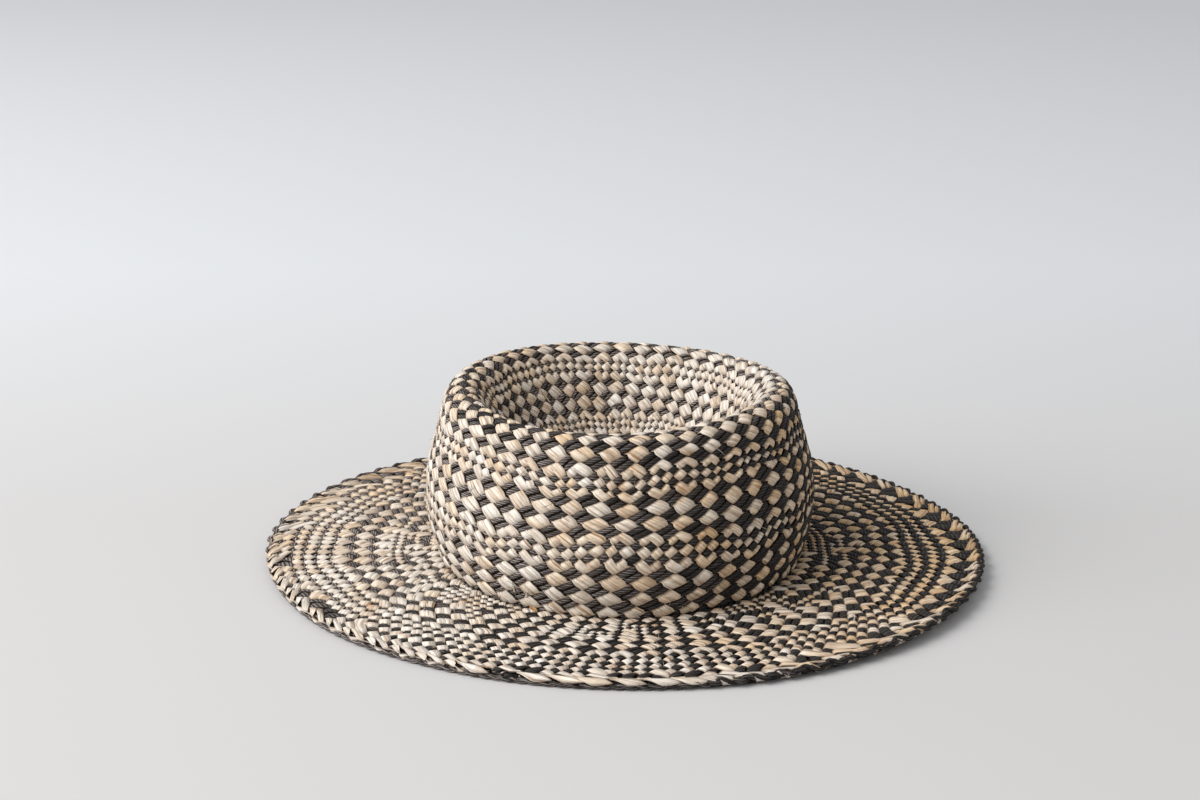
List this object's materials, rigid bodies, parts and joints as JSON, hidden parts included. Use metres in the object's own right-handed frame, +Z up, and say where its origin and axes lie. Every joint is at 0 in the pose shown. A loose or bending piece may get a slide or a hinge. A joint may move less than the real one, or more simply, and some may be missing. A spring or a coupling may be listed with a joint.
{
  "type": "straw hat",
  "caption": "Wide-brimmed straw hat plaited from natural and charcoal strands, with a round barrel crown pressed in on top and a plaited edge.",
  "frame": {"origin": "on the surface the hat stands on, under the middle of its bounding box", "axes": "+X along the brim's longest extent, +Y away from the picture's viewer, +Z up out of the crown"},
  "size_m": [0.3696, 0.3396, 0.0938],
  "materials": {
    "crown_straw": "natural and charcoal straw strands plaited on the bias, matt with a soft sheen",
    "brim_straw": "finer natural and charcoal straw strands plaited on the bias, matt",
    "edge_straw": "strand ends turned back into a tight plaited roll, mostly charcoal"
  },
  "bodies": {
    "root": {"crown_tip": "crown_straw", "crown_side": "crown_straw", "brim": "brim_straw", "brim_edge": "edge_straw"}
  },
  "joints": []
}
